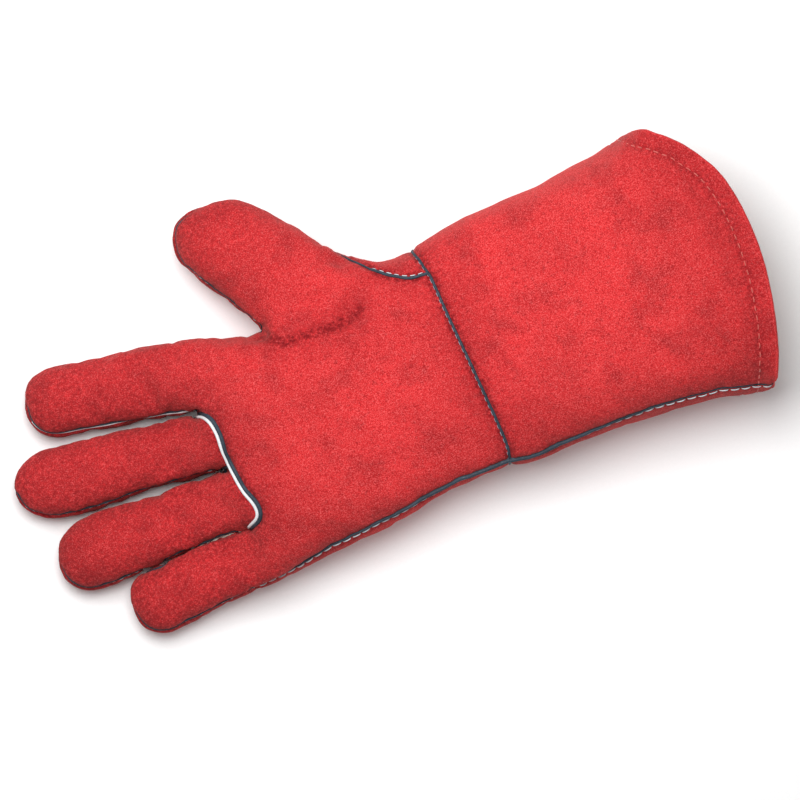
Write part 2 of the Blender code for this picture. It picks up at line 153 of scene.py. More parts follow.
def curve(points, step=2.2):
    """A smooth line through a few points, by a Catmull-Rom spline with centripetal knots."""
    p = np.asarray(points, float)
    if len(p) == 2:
        return resample(p, step)
    p = np.vstack([2 * p[0] - p[1], p, 2 * p[-1] - p[-2]])
    dense = []
    for a, b, c, d in zip(p, p[1:], p[2:], p[3:]):
        t1 = math.sqrt(np.linalg.norm(b - a))
        t2 = t1 + math.sqrt(np.linalg.norm(c - b))
        t3 = t2 + math.sqrt(np.linalg.norm(d - c))
        for t in np.linspace(t1, t2, 20, endpoint=False):
            ab = a + (b - a) * t / t1
            bc = b + (c - b) * (t - t1) / (t2 - t1)
            cd = c + (d - c) * (t - t2) / (t3 - t2)
            abc = ab + (bc - ab) * t / t2
            bcd = bc + (cd - bc) * (t - t1) / (t3 - t1)
            dense.append(abc + (bcd - abc) * (t - t1) / (t2 - t1))
    dense.append(p[-2])
    return resample(dense, step)


def ease(t):
    t = np.clip(t, 0, 1)
    return t * t * (3 - 2 * t)


def unit(v):
    """A vector, or each row of an array, at length one."""
    length = np.linalg.norm(v) if v.ndim == 1 else np.linalg.norm(v, axis=1)[:, None]
    return v / np.maximum(length, 1e-9)


def half_width(finger, share):
    """Half a finger's width, at a share of the way from its root to its tip."""
    tip_half, root_half = finger["half"]
    return root_half + (tip_half - root_half) * ease(share)


def finger_axis(finger):
    """A finger's root, the direction from there to its tip, and the distance."""
    root, end = np.array(finger["root"]), np.array(finger["end"])
    return root, unit(end - root), np.linalg.norm(end - root)


def finger_edge(finger):
    """A finger's outline, up its little-finger side, round its tip and down its thumb side."""
    root, ahead, length = finger_axis(finger)
    across = np.array((ahead[1], -ahead[0]))
    half_line = [(share * length, half_width(finger, share)) for share in np.linspace(0, 1, 8)]
    for turn in np.linspace(math.pi / 2, 0, 12)[1:]:
        forward = finger["reach"] * math.cos(turn) ** (2 / TIP_SQUARENESS)
        half_line.append((length + forward, finger["half"][0] * math.sin(turn) ** (2 / TIP_SQUARENESS)))
    low = [root + ahead * s - across * w for s, w in half_line]
    return low + [root + ahead * s + across * w for s, w in half_line[-2::-1]]


def outline():
    """The seam line from the hem's lower corner round the fingers and thumb to its upper corner."""
    line = list(curve(LITTLE_EDGE))
    for name, finger in FINGERS.items():
        line += finger_edge(finger)
        if name in FORKS:
            line.append(np.array(FORKS[name]))
    line += list(curve(INDEX_EDGE)) + list(curve(THUMB_LEFT))
    for turn in map(math.radians, np.linspace(*THUMB_ARC_DEG, 14)):
        line.append(np.array(THUMB_CENTRE) + THUMB_RADIUS * np.array((math.cos(turn), math.sin(turn))))
    line += list(curve(THUMB_RIGHT)) + list(curve(CUFF_EDGE))
    return resample(line, 2.2), curve(HEM, 2.4)


def distance_to(points, line):
    """Each point's distance to a line, and where along the line its nearest point is."""
    best = np.full(len(points), 1e9)
    place = np.zeros(len(points))
    for i, (p, q) in enumerate(zip(line, line[1:])):
        d = q - p
        t = np.clip(((points - p) @ d) / max(d @ d, 1e-12), 0, 1)
        away = np.linalg.norm(points - (p + t[:, None] * d), axis=1)
        nearer = away < best
        best[nearer] = away[nearer]
        place[nearer] = (i + t)[nearer]
    return best, place


def inside(points, loop):
    """Which points lie in a closed loop, by counting the edges to their right."""
    x, y = points[:, 0], points[:, 1]
    found = np.zeros(len(points), bool)
    for (x0, y0), (x1, y1) in zip(loop, np.roll(loop, -1, axis=0)):
        if y0 == y1:
            continue
        crosses = (y0 > y) != (y1 > y)
        found ^= crosses & (x < x0 + (y - y0) / (y1 - y0) * (x1 - x0))
    return found


def inward(line):
    """Unit normals that point into the glove from its clockwise outline."""
    ahead = unit(np.gradient(line, axis=0))
    return np.stack([ahead[:, 1], -ahead[:, 0]], 1)


# ---------------------------------------------------------------- bodies and flex lines


class Flex:
    """Where each body's leather starts, and where it bends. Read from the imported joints."""

    def __init__(self, joints):
        self.at = {j["name"]: np.array(j["pos_m"]) / MM for j in joints}
        self.axis = {j["name"]: np.array(j["axis"]) for j in joints}
        self.root_x = self.at["index_knuckle_flex"][0] - KNUCKLE_CUT
        self.split_x = {n: self.at[n + "_middle_flex"][0] + MIDDLE_CUT for n in FINGERS}
        self.chord, end = (np.array(place) for place in THUMB_CHORD)
        self.along = unit(end - self.chord)
        self.chord_out = np.array((-self.along[1], self.along[0]))

    def region(self, points):
        """The body whose leather each plan point belongs to."""
        x, y = points[:, 0], points[:, 1]
        found = np.full(len(points), "hand", dtype=object)
        wrist = curve(WRIST)
        found[x > np.interp(-y, -wrist[:, 1], wrist[:, 0])] = "cuff"
        out = (points[:, :2] - self.chord) @ self.chord_out
        past_fork = y > THUMB_FORK[1] + THUMB_FORK_SLOPE * (THUMB_FORK[0] - x)
        thumb = (out > 0) & (x < THUMB_END_X) & past_fork
        found[thumb & (out <= THUMB_SPLIT)] = "thumb_near"
        found[thumb & (out > THUMB_SPLIT)] = "thumb_tip"
        away = []
        for finger in FINGERS.values():
            root, ahead, length = finger_axis(finger)
            share = (points[:, :2] - root) @ ahead / length
            aside = np.abs((points[:, :2] - root) @ np.array((ahead[1], -ahead[0])))
            away.append(aside - half_width(finger, share))
        nearest = np.argmin(away, axis=0)
        for k, name in enumerate(FINGERS):
            own = (x < self.root_x) & (nearest == k)
            found[own & (x >= self.split_x[name])] = name + "_near"
            found[own & (x < self.split_x[name])] = name + "_tip"
        return found

    def attach(self, piece, region):
        """Bakes a piece's transform into its mesh."""
        name, _, part = region.partition("_")
        if not part:
            region, pos, axis = "cuff", self.at["wrist_flex"], self.axis["wrist_flex"]
        elif name == "thumb":
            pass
        else:
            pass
        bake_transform(piece)

    def lines(self):
        """Plan lines along which the skin is cut between bodies."""
        cuts = [[(self.root_x, -95.0), (self.root_x, 42.0)]]
        for name, finger in FINGERS.items():
            x, root, end = self.split_x[name], finger["root"], finger["end"]
            share = (x - root[0]) / (end[0] - root[0])
            y = root[1] + (end[1] - root[1]) * share
            half = half_width(finger, share)
            cuts.append([(x, y - half - 0.45), (x, y + half + 0.45)])
        middle = self.chord + self.chord_out * THUMB_SPLIT
        return [*cuts, THUMB_CHORD, [middle - self.along * 12, middle + self.along * 62]]


# ---------------------------------------------------------------- the skin


def seam_side(line):
    """Where the front-to-back seam runs at each outline point: 1 is over the palm side by a full
    step, -1 is under the back, and 0 is on the outline. It rolls over at each tip and fork."""
    marks = [(0, 1.0)]

    def nearest(place):
        return int(np.argmin(np.linalg.norm(line - np.array(place), axis=1)))

    for name, finger in FINGERS.items():
        root, ahead, length = finger_axis(finger)
        tip = nearest(root + ahead * (length + finger["reach"]))
        marks += [(tip - 2, 1.0), (tip + 7, -1.0)]
        if name in FORKS:
            fork = nearest(FORKS[name])
            marks += [(fork - 3, -1.0), (fork + 3, 1.0)]
    fork, top, seam_start = nearest(THUMB_LEFT[1]), nearest(THUMB_TOP), nearest(THUMB_SEAM[0])
    marks += [(fork - 6, -1.0), (fork + 1, 0.9), (top - 6, 0.8), (top + 6, -1.0)]
    marks += [(seam_start - 9, -1.0), (seam_start, 0.0), (len(line) - 1, 0.0)]
    return np.interp(np.arange(len(line)), *zip(*marks))


def seam_inset(line, side):
    """How far inside the outline the seam runs at each outline point."""
    depths = (FINGER_SEAM_IN, SIDE_SEAM_IN, SIDE_SEAM_IN, 2.0)
    deep = np.interp(line[:, 0], (-75.0, -40.0, 110.0, 160.0), depths)
    corner = np.argmin(np.linalg.norm(line - np.array(PALM_CORNER), axis=1))
    inset = np.where(np.arange(len(line)) < corner, deep, FINGER_SEAM_IN) * side**2
    return np.where(inset < SEAM_SNAP, 0.0, inset)


def hem_at(y):
    """The hem's x at a given y."""
    hem = curve(HEM)
    return np.interp(-y, -hem[:, 1], hem[:, 0])


class Skin:
    """The whole glove's leather as one closed surface, open at the cuff's mouth."""

    def __init__(self, flex):
        self.flex = flex
        self.seam, self.hem = outline()
        self.side = seam_side(self.seam)
        self.inset = seam_inset(self.seam, self.side)
        self.loop = np.vstack([self.seam, self.hem[1:-1]])
        self.triangulate()
        self.puff()
        self.label()

    def plan_lines(self):
        """Constraint lines inside the outline: the seam, the region cuts and the sewn features."""
        seam_row = self.seam + inward(self.seam) * self.inset[:, None]
        away, _ = distance_to(seam_row, self.seam)
        kept = seam_row[away > self.inset * 0.9 - 1e-6]
        hem_line = self.hem - np.array((HEM_FACING, 0.0))
        first = hem_line[0] + (hem_line[0] - hem_line[1]) * 4
        last = hem_line[-1] + (hem_line[-1] - hem_line[-2]) * 4
        features = [curve(line) for line in (BASE_SEAM, MIDDLE_RING_SEAM, THUMB_SEAM, THUMB_CREASE)]
        cuts = [resample(cut, 2.2) for cut in self.flex.lines()]
        return kept, np.vstack([first, hem_line, last]), features, curve(WRIST), cuts

    def triangulate(self):
        kept, facing, features, wrist, cuts = self.plan_lines()
        lines = [kept, facing, wrist, *features, *cuts]
        rows = []
        normals = inward(self.seam)
        for depth in EDGE_ROWS:
            row = self.seam + normals * depth
            away, _ = distance_to(row, np.vstack([self.loop, self.loop[:1]]))
            rows.append(row[away > depth * 0.9])
        for line in [*features, wrist]:
            for depth in FEATURE_ROWS:
                rows.append(line + inward(line) * depth)
        grid = []
        low, high = self.loop.min(0), self.loop.max(0)
        for k, y in enumerate(np.arange(low[1], high[1], STEP * math.sqrt(3) / 2)):
            xs = np.arange(low[0], high[0], STEP) + (k % 2) * STEP / 2
            grid.append(np.stack([xs, np.full(len(xs), y)], 1))
        spare = np.vstack([*rows, *grid])
        keeps = np.concatenate([np.full(sum(map(len, rows)), 0.3), np.full(sum(map(len, grid)), 1.2)])
        own_row = np.concatenate([[i] * len(r) for i, r in enumerate(rows)] + [[-1] * sum(map(len, grid))])
        fine = inside(spare, self.loop)
        for line in lines:
            away, _ = distance_to(spare, line)
            fine &= away > keeps
        away, _ = distance_to(spare, np.vstack([self.loop, self.loop[:1]]))
        fine &= away > np.where(own_row >= 0, 0.25, 2.3)
        spare, keeps = spare[fine], keeps[fine]
        spare = self.thin(spare, own_row[fine])
        points, count = list(self.loop), len(self.loop)
        edges = [(i, (i + 1) % count) for i in range(count)]
        for line in lines:
            base = len(points)
            points += list(line)
            edges += [(base + i, base + i + 1) for i in range(len(line) - 1)]
        points += list(spare)
        made = geometry.delaunay_2d_cdt([Vector(p) for p in points], edges, [], 0, 1e-4)
        plan = np.array([tuple(v) for v in made[0]])
        faces = np.array([f for f in made[2]])
        faces = faces[inside(plan[faces].mean(1), self.loop)]
        a, b, c = (plan[faces[:, k]] for k in range(3))
        turn = (b - a)[:, 0] * (c - a)[:, 1] - (b - a)[:, 1] * (c - a)[:, 0]
        faces[turn < 0] = faces[turn < 0][:, ::-1]
        faces = faces[np.abs(turn) > 1e-5]
        away, _ = distance_to(plan, self.seam)
        faces = faces[~(away < 1e-3)[faces].all(1)]
        used = np.unique(faces)
        renumber = np.full(len(plan), -1)
        renumber[used] = np.arange(len(used))
        self.plan, self.plan_faces = plan[used], renumber[faces]
        away, _ = distance_to(self.plan, self.seam)
        self.on_seam = away < 1e-3

    def thin(self, spare, rows):
        """Drops grid points and later rows' points that crowd a row's points."""
        tree = kdtree.KDTree(len(spare))
        for i, p in enumerate(spare):
            tree.insert((*p, 0), i)
        tree.balance()
        keep = np.ones(len(spare), bool)
        for i in np.flatnonzero(rows >= 0):
            if keep[i]:
                for _, j, _ in tree.find_range((*spare[i], 0), 0.7):
                    if rows[j] < 0 or j > i and rows[j] > rows[i]:
                        keep[j] = False
        return spare[keep]

    def puff(self):
        """Lifts the plan into two sheets that are round where it is narrow, as pressure would."""
        rise = np.sqrt(2 * solve_poisson(self.plan, self.plan_faces, self.on_seam))
        change = ease((self.plan[:, 0] - PUFF_CHANGES_X[0]) / (PUFF_CHANGES_X[1] - PUFF_CHANGES_X[0]))
        top, soft = (palm + (cuff - palm) * change for palm, cuff in zip(PALM_PUFF, CUFF_PUFF))
        height = top * np.tanh(rise / soft)
        middle = self.middle_height(height)
        own = ~self.on_seam
        twin = np.arange(len(self.plan))
        twin[own] = len(self.plan) + np.arange(own.sum())
        upper = np.column_stack([self.plan, middle + height])
        lower = np.column_stack([self.plan, middle - height])[own]
        self.verts = press_flat(np.vstack([upper, lower]), 0.5)
        self.faces = np.vstack([self.plan_faces, twin[self.plan_faces[:, ::-1]]])
        self.is_top = np.arange(len(self.faces)) < len(self.plan_faces)

    def middle_height(self, height):
        """The height of the seam line's level, which rises from the fingers to the cuff."""
        stations = np.arange(-164.0, 148.0, 8.0)
        tops = np.array([height[np.abs(self.plan[:, 0] - at) < 10].max() for at in stations])
        tops = np.concatenate([[tops[0]] * 3, tops, [tops[-1]] * 3])
        for _ in range(6):
            tops[1:-1] = (tops[:-2] + 2 * tops[1:-1] + tops[2:]) / 4
        return np.interp(self.plan[:, 0], stations, tops[3:-3]) - REST_FLAT

    def label(self):
        """Which body and which panel, front or back, each face belongs to."""
        centres = self.verts[self.faces].mean(1)
        self.region = self.flex.region(centres)
        away, place = distance_to(centres[:, :2], self.seam)
        count = np.arange(len(self.seam))
        strip = away < np.interp(place, count, self.inset)
        side = np.interp(place, count, self.side)
        front = np.where(strip, np.where(self.is_top, side <= 0, side < 0), self.is_top)
        wedge = np.vstack([curve(THUMB_SEAM), BACK_WEDGE])
        front[self.is_top & inside(centres[:, :2], wedge) & (self.region != "cuff")] = False
        self.front = front
        self.facing = (self.region == "cuff") & (centres[:, 0] > hem_at(centres[:, 1]) - HEM_FACING)

    def edge_chains(self, faces_a, faces_b):
        """Lines of vertices along which two sets of faces meet."""
        keys = {}
        for kind, faces in ((1, self.faces[faces_a]), (2, self.faces[faces_b])):
            for a, b, c in faces:
                for p, q in ((a, b), (b, c), (c, a)):
                    key = (min(p, q), max(p, q))
                    keys[key] = keys.get(key, 0) | kind
        return chains([key for key, kind in keys.items() if kind == 3])


def press_flat(verts, softness):
    """Presses the underside flat on the ground."""
    z = verts[:, 2]
    verts[:, 2] = 0.5 * (z + np.sqrt(z * z + softness))
    return verts


def chains(edges):
    """Edges joined end to end into lines of vertices, the longest first."""
    links = {}
    for a, b in edges:
        links.setdefault(a, []).append(b)
        links.setdefault(b, []).append(a)
    done, found = set(), []

    def walk(start):
        line = [start]
        while True:
            options = [n for n in links[line[-1]] if (min(n, line[-1]), max(n, line[-1])) not in done]
            if not options:
                return line
            done.add((min(options[0], line[-1]), max(options[0], line[-1])))
            line.append(options[0])

    ends = [v for v, near in links.items() if len(near) != 2]
    for start in ends + list(links):
        while any((min(n, start), max(n, start)) not in done for n in links[start]):
            found.append(walk(start))
    return sorted(found, key=len, reverse=True)


def solve_poisson(points, faces, fixed):
    """The membrane's rise over its plan under even pressure, held down at its fixed points."""
    count = len(points)
    pairs, weights = [], []
    area = np.zeros(count)
    for k in range(3):
        a, b, c = faces[:, k], faces[:, (k + 1) % 3], faces[:, (k + 2) % 3]
        u, v = points[b] - points[a], points[c] - points[a]
        cross = np.abs(u[:, 0] * v[:, 1] - u[:, 1] * v[:, 0])
        weights.append(np.clip((u * v).sum(1) / np.maximum(cross, 1e-9), -5, 20) / 2)
        pairs.append(np.stack([b, c], 1))
        np.add.at(area, a, cross / 6)
    pairs, weights = np.vstack(pairs), np.concatenate(weights)
    i, j = pairs.T
    diagonal = np.bincount(i, weights, count) + np.bincount(j, weights, count)
    free = ~fixed

    def apply(u):
        out = diagonal * u
        out -= np.bincount(i, weights * u[j], count) + np.bincount(j, weights * u[i], count)
        return np.where(free, out, 0)

    u = np.zeros(count)
    residual = np.where(free, area, 0)
    scale = np.where(free, 1 / np.maximum(diagonal, 1e-9), 0)
    step = scale * residual
    direction = step.copy()
    strength = residual @ step
    for _ in range(1500):
        moved = apply(direction)
        share = strength / (direction @ moved)
        u += share * direction
        residual -= share * moved
        step = scale * residual
        after = residual @ step
        if after < 1e-12 * strength or after < 1e-10:
            break
        direction = step + direction * (after / strength)
        strength = after
    return np.maximum(u, 0)


def vertex_normals(verts, faces):
    a, b, c = (verts[faces[:, k]] for k in range(3))
    flat = np.cross(b - a, c - a)
    out = np.zeros_like(verts)
    for k in range(3):
        np.add.at(out, faces[:, k], flat)
    return unit(out)


def edge_keys(faces):
    """Every edge of the faces as one number, with the corner that faces each."""
    low = np.minimum(faces, np.roll(faces, -1, axis=1))
    high = np.maximum(faces, np.roll(faces, -1, axis=1))
    return low.astype(np.int64) * EDGE + high, np.roll(faces, -2, axis=1)


class Finer:
    """The skin once more subdivided by Loop's rule, with each line of vertices carried over."""

    def __init__(self, skin):
        verts, faces = skin.verts, skin.faces
        keys, facing = edge_keys(faces)
        self.keys, where, uses = np.unique(keys, return_inverse=True, return_counts=True)
        where = where.reshape(keys.shape)
        a, b = self.keys // EDGE, self.keys % EDGE
        opposite = np.zeros((len(self.keys), 3))
        np.add.at(opposite, where, verts[facing])
        inner = (uses == 2)[:, None]
        middle = np.where(inner, (verts[a] + verts[b]) * 3 / 8 + opposite / 8, (verts[a] + verts[b]) / 2)
        count = len(verts)
        self.old = count
        valence = np.bincount(a, minlength=count) + np.bincount(b, minlength=count)
        total = np.zeros_like(verts)
        np.add.at(total, a, verts[b])
        np.add.at(total, b, verts[a])
        share = np.where(valence > 3, 3 / (8 * np.maximum(valence, 1)), 3 / 16)[:, None]
        even = verts * (1 - share * valence[:, None]) + share * total
        rim = uses == 1
        edge_total = np.zeros_like(verts)
        np.add.at(edge_total, a[rim], verts[b[rim]])
        np.add.at(edge_total, b[rim], verts[a[rim]])
        on_rim = np.zeros(count, bool)
        on_rim[a[rim]] = on_rim[b[rim]] = True
        even[on_rim] = verts[on_rim] * 0.75 + edge_total[on_rim] / 8
        self.verts = np.vstack([even, middle])
        m = where + count
        self.faces = np.stack([
            np.stack([faces[:, 0], m[:, 0], m[:, 2]], 1),
            np.stack([faces[:, 1], m[:, 1], m[:, 0]], 1),
            np.stack([faces[:, 2], m[:, 2], m[:, 1]], 1),
            m,
        ], 1).reshape(-1, 3)
        self.region = np.repeat(skin.region, 4)
        self.front = np.repeat(skin.front, 4)
        self.facing = np.repeat(skin.facing, 4)

    def line(self, chain):
        """A line of the coarse skin's vertices with the new ones between them."""
        out = []
        for a, b in zip(chain, chain[1:]):
            out += [a, self.old + np.searchsorted(self.keys, min(a, b) * EDGE + max(a, b))]
        return out + [chain[-1]]


def smooth_line(points, rounds=2):
    points = points.copy()
    for _ in range(rounds):
        points[1:-1] = (points[:-2] + 2 * points[1:-1] + points[2:]) / 4
    return points


def along_line(points):
    return np.concatenate([[0], np.cumsum(np.linalg.norm(np.diff(points, axis=0), axis=1))])


def soil_and_shade(place):
    """How dark the leather is painted: painted shade where the light falls off towards the fingers, thumb
    and the cuff's ends, with soil from handling there too.
    """
    from_palm = math.hypot(place[0] + 5, place[1] + 18)
    from_cuff = math.hypot(place[0] - 95, place[1] + 8)
    return min(float(ease((from_palm - 40) / 75)), float(ease((from_cuff - 35) / 60)))


def dent(place):
    """How far the soft hide stands out or in at a place."""
    return sum(height * noise.noise(place / size + size) for size, height in RELIEF)


def sew(surface, seams):
    """Draws the skin into its seams, puckers the leather beside them where thread gathers it, and paints
    shade into the leather in and beside each seam.
    """
    tree_points, facts = [], []
    for number, seam in enumerate(seams):
        if "line" in seam:
            points = smooth_line(surface.verts[seam["line"]])
            surface.verts[seam["line"]] = points
        else:
            points = seam["points"]
        along = along_line(points)
        places = np.arange(0, along[-1], 0.7)
        dense = np.stack([np.interp(places, along, points[:, k]) for k in range(3)], 1)
        tree_points.append(dense)
        facts += [(number, place) for place in places]
    dense = np.vstack(tree_points)
    tree = kdtree.KDTree(len(dense))
    for i, p in enumerate(dense):
        tree.insert(p, i)
    tree.balance()
    normals = vertex_normals(surface.verts, surface.faces)
    moved = np.array([dent(p) for p in surface.verts])
    # Painted shade and soil: darker towards the fingers, thumb and the cuff's ends.
    dark = np.array([SOIL_AND_SHADE * soil_and_shade(p) for p in surface.verts])
    for v, p in enumerate(surface.verts):
        _, i, away = tree.find(p)
        if away > 28:
            continue
        number, place = facts[i]
        seam = seams[number]
        dip = seam["depth"] * math.exp(-((away / seam["radius"]) ** 2))
        spread = math.exp(-((away / seam.get("reach", 6.0)) ** 2))
        ripple = noise.noise((place / seam.get("wave", 5.5), number * 7.3, away / 16))
        ripple += 0.45 * noise.noise((place / 2.1, number * 3.1 + 40, away / 6))
        moved[v] += seam["pucker"] * ripple * spread - dip
        # Painted shade: darker in and beside each seam, where shade falls in the groove.
        shade = math.exp(-((away / 2.2) ** 2)) + 0.42 * math.exp(-((away / 11.0) ** 2))
        dark[v] += shade * min(1.0, seam["depth"])
    surface.valley = np.minimum(dark, 1)
    surface.verts = press_flat(surface.verts + normals * moved[:, None], 0.3)


# ---------------------------------------------------------------- meshes


def new_object(name, verts, faces, material):
    """An object from vertices in millimetres and faces of any size, with its rest place kept."""
    places = np.asarray(verts) * MM
    mesh = bpy.data.meshes.new(name)
    mesh.from_pydata(places.tolist(), [], [[int(v) for v in face] for face in faces])
    mesh.validate()
    mesh.shade_smooth()
    rest = mesh.attributes.new("rest", "FLOAT_VECTOR", "POINT")
    rest.data.foreach_set("vector", places.astype(np.float32).ravel())
    mesh.materials.append(material)
    piece = bpy.data.objects.new(name, mesh)
    bpy.context.collection.objects.link(piece)
    return piece


def set_attribute(piece, name, values):
    attribute = piece.data.attributes.new(name, "FLOAT", "POINT")
    attribute.data.foreach_set("value", np.asarray(values, np.float32))


class Cutter:
    """Cuts the finished skin into panels, and opens it a little along each seam for its welt."""

    def __init__(self, surface, cut_lines, gap):
        verts, faces = surface.verts, surface.faces
        self.surface = surface
        self.normals = vertex_normals(verts, faces)
        cut = np.zeros(len(verts), bool)
        ahead = np.zeros_like(verts)
        for line in cut_lines:
            cut[line] = True
            ahead[line] = np.gradient(verts[line], axis=0)
        sector = surface.front.astype(int) + 2 * (surface.region == "cuff")
        keys, where = np.unique(faces * 4 + np.where(cut[faces], sector[:, None], 0), return_inverse=True)
        self.where = where.reshape(faces.shape)
        pull = np.zeros((len(keys), 3))
        np.add.at(pull, self.where, verts[faces].mean(1)[:, None] - verts[faces])
        self.own = own = keys // 4
        for line in (self.normals[own], unit(ahead)[own]):
            pull -= line * (pull * line).sum(1)[:, None]
        self.places = verts[own] + np.where(cut[own], gap, 0.0)[:, None] * unit(pull)
        self.room = np.full(len(verts), np.inf)

    def measure_room(self):
        """Finds how far the other side of the skin is from each vertex, so no layer comes out there."""
        tree = BVHTree.FromPolygons(self.surface.verts.tolist(), self.surface.faces.tolist())
        for v, (place, normal) in enumerate(zip(self.surface.verts, self.normals)):
            inwards = -Vector(normal)
            across = tree.ray_cast(Vector(place) + inwards * 0.05, inwards)[3]
            if across is not None:
                self.room[v] = across

    def panel(self, name, mask, material, depth=0.0, thick=LEATHER):
        """The skin's chosen faces as one closed panel, thick inwards from depth below the skin."""
        corners = self.where[mask]
        used, local = np.unique(corners, return_inverse=True)
        outer = local.reshape(corners.shape)
        normal = self.normals[self.own[used]]
        room = self.room[self.own[used]][:, None]
        top = self.places[used] - normal * np.minimum(depth, 0.44 * room)
        low = self.places[used] - normal * np.minimum(depth + thick, 0.5 * room)
        count = len(used)
        inner = outer[:, ::-1] + count
        directed = np.vstack([outer[:, [0, 1]], outer[:, [1, 2]], outer[:, [2, 0]]]).astype(np.int64)
        forward, backward = directed @ (EDGE, 1), directed @ (1, EDGE)
        rim = directed[~np.isin(forward, backward)]
        walls = np.stack([rim[:, 1], rim[:, 0], rim[:, 0] + count, rim[:, 1] + count], 1)
        verts = np.vstack([top, low])
        piece = new_object(name, verts, [*outer, *inner, *walls], material)
        a, b, c = (verts[walls[:, k]] for k in range(3))
        flat = unit(np.cross(b - a, c - a))
        corner_normals = np.vstack([
            normal[outer].reshape(-1, 3), -normal[inner - count].reshape(-1, 3), np.repeat(flat, 4, axis=0)
        ])
        piece.data.normals_split_custom_set(corner_normals)
        # The painted shade and soil go with the panel's vertices.
        valley = self.surface.valley[self.own[used]]
        set_attribute(piece, "valley", np.concatenate([valley, valley]))
        return piece


def sweep(points, ups, profile, scale=None, closed=False):
    """Vertices and faces of a section swept along points, its second axis along ups."""
    if closed:
        ahead = unit(np.roll(points, -1, axis=0) - np.roll(points, 1, axis=0))
    else:
        ahead = unit(np.gradient(points, axis=0))
    across = unit(np.cross(ahead, ups))
    up = np.cross(across, ahead)
    profile = np.asarray(profile, float)
    scale = np.ones(len(points)) if scale is None else np.asarray(scale)
    sized = profile[None] * scale[:, None, None]
    rings = points[:, None] + sized[..., :1] * across[:, None] + sized[..., 1:] * up[:, None]
    count, sides = len(points), len(profile)
    faces = []
    for i in range(count if closed else count - 1):
        a, b = i * sides, (i + 1) % count * sides
        for j in range(sides):
            k = (j + 1) % sides
            faces.append((a + j, a + k, b + k, b + j))
    if not closed:
        faces.append(tuple(range(sides))[::-1])
        faces.append(tuple((count - 1) * sides + j for j in range(sides)))
    return rings.reshape(-1, 3), faces


def round_profile(width, low, high, corner_steps=3):
    """A section with flat sides and a round top, anticlockwise."""
    half = width / 2
    points = [(-half, low), (half, low)]
    for turn in np.linspace(0, math.pi, corner_steps * 2 + 1):
        points.append((half * math.cos(turn), high - half + half * math.sin(turn)))
    return points


def circle(radius, sides=8):
    return [(radius * math.cos(t), radius * math.sin(t)) for t in np.arange(sides) * 2 * math.pi / sides]


def join(parts):
    """Several (vertices, faces) as one."""
    verts, faces, base = [], [], 0
    for part_verts, part_faces in parts:
        verts.append(part_verts)
        faces += [tuple(base + i for i in face) for face in part_faces]
        base += len(part_verts)
    return np.vstack(verts), faces


def stitches(points, ups, length, gap, radius, sunk=0.35):
    """A row of thread: each stitch is a short strand that dives into the leather at both ends."""
    along = along_line(points)
    parts = []
    start = gap
    while start + length < along[-1]:
        places = np.linspace(start, start + length, 7)
        mids = np.stack([np.interp(places, along, points[:, k]) for k in range(3)], 1)
        high = np.stack([np.interp(places, along, ups[:, k]) for k in range(3)], 1)
        dive = np.abs(np.linspace(-1, 1, 7)) ** 3
        mids = mids + high * (radius * 0.55 - dive * (radius * 1.5 + sunk))[:, None]
        parts.append(sweep(mids, high, circle(radius, 6), scale=1 - 0.3 * dive))
        start += length + gap
    return join(parts)


# ---------------------------------------------------------------- materials


class Nodes:
    """A small helper that adds and links a material's nodes."""

    def __init__(self, name):
        self.material = bpy.data.materials.new(name)
        self.material.use_nodes = True
        self.tree = self.material.node_tree
        self.shader = self.tree.nodes["Principled BSDF"]

    def put(self, socket, value):
        """Links another node's output to an input, or sets its value."""
        if isinstance(value, bpy.types.NodeSocket):
            self.tree.links.new(value, socket)
        else:
            socket.default_value = (*value, 1.0) if isinstance(value, tuple) else value

    def add(self, kind, output, inputs, **settings):
        node = self.tree.nodes.new(kind)
        for key, value in settings.items():
            setattr(node, key, value)
        for key, value in inputs.items():
            self.put(node.inputs[key], value)
        return node.outputs[output]

    def attribute(self, name, output="Vector"):
        return self.add("ShaderNodeAttribute", output, {}, attribute_name=name)

    def noise(self, place, scale, detail=3.0, rough=0.55):
        inputs = {"Vector": place, "Scale": scale, "Detail": detail, "Roughness": rough}
        return self.add("ShaderNodeTexNoise", "Fac", inputs)

    def range(self, value, low, high, to_low=0.0, to_high=1.0):
        ends = {"From Min": low, "From Max": high, "To Min": to_low, "To Max": to_high}
        return self.add("ShaderNodeMapRange", "Result", {"Value": value, **ends})

    def product(self, a, b):
        return self.add("ShaderNodeMath", "Value", {0: a, 1: b}, operation="MULTIPLY")

    def mix(self, factor, a, b):
        return self.add("ShaderNodeMix", "Result", {"Factor": factor, "A": a, "B": b}, data_type="RGBA")

    def bump(self, heights):
        """Stacks (height, depth in metres) pairs into the shader's normal."""
        below = {}
        for height, depth in heights:
            inputs = {"Strength": 1.0, "Distance": depth, "Height": height, **below}
            below = {"Normal": self.add("ShaderNodeBump", "Normal", inputs)}
        self.put(self.shader.inputs["Normal"], below["Normal"])

    def set(self, **values):
        for name, value in values.items():
            self.put(self.shader.inputs[name.replace("_", " ")], value)


def shade(colour, share):
    return tuple(c * share for c in colour)


